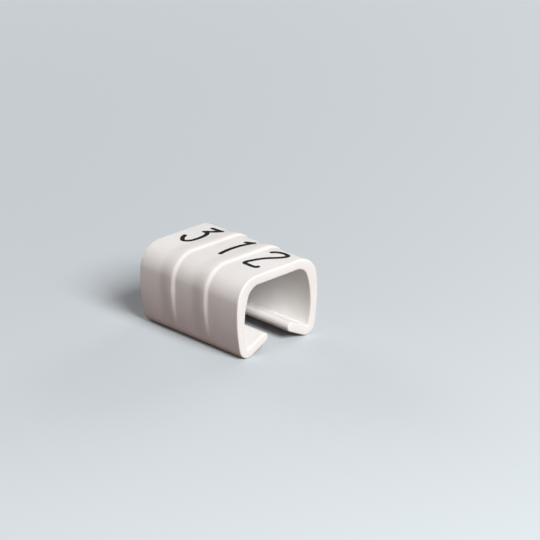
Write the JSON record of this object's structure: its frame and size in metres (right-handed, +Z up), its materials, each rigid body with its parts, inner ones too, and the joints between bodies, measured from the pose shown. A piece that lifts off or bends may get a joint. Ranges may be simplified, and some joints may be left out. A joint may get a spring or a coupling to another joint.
{
  "type": "cable marker",
  "caption": "White clip-on cable marker: an open plastic channel with a flat printed top, low beads over its outside and two lips turned in to hold a cable.",
  "frame": {"origin": "middle of the part, on the surface that its bottom corners stand on", "axes": "+X along the cable, the way the characters read; +Y across, towards the characters' tops; +Z up, out of the printed face"},
  "size_m": [0.0112, 0.0092, 0.0068],
  "materials": {
    "white_plastic": "soft satin, as moulded",
    "print_ink": "flat black print"
  },
  "bodies": {
    "root": {"marker_clip": "white_plastic"}
  },
  "joints": []
}
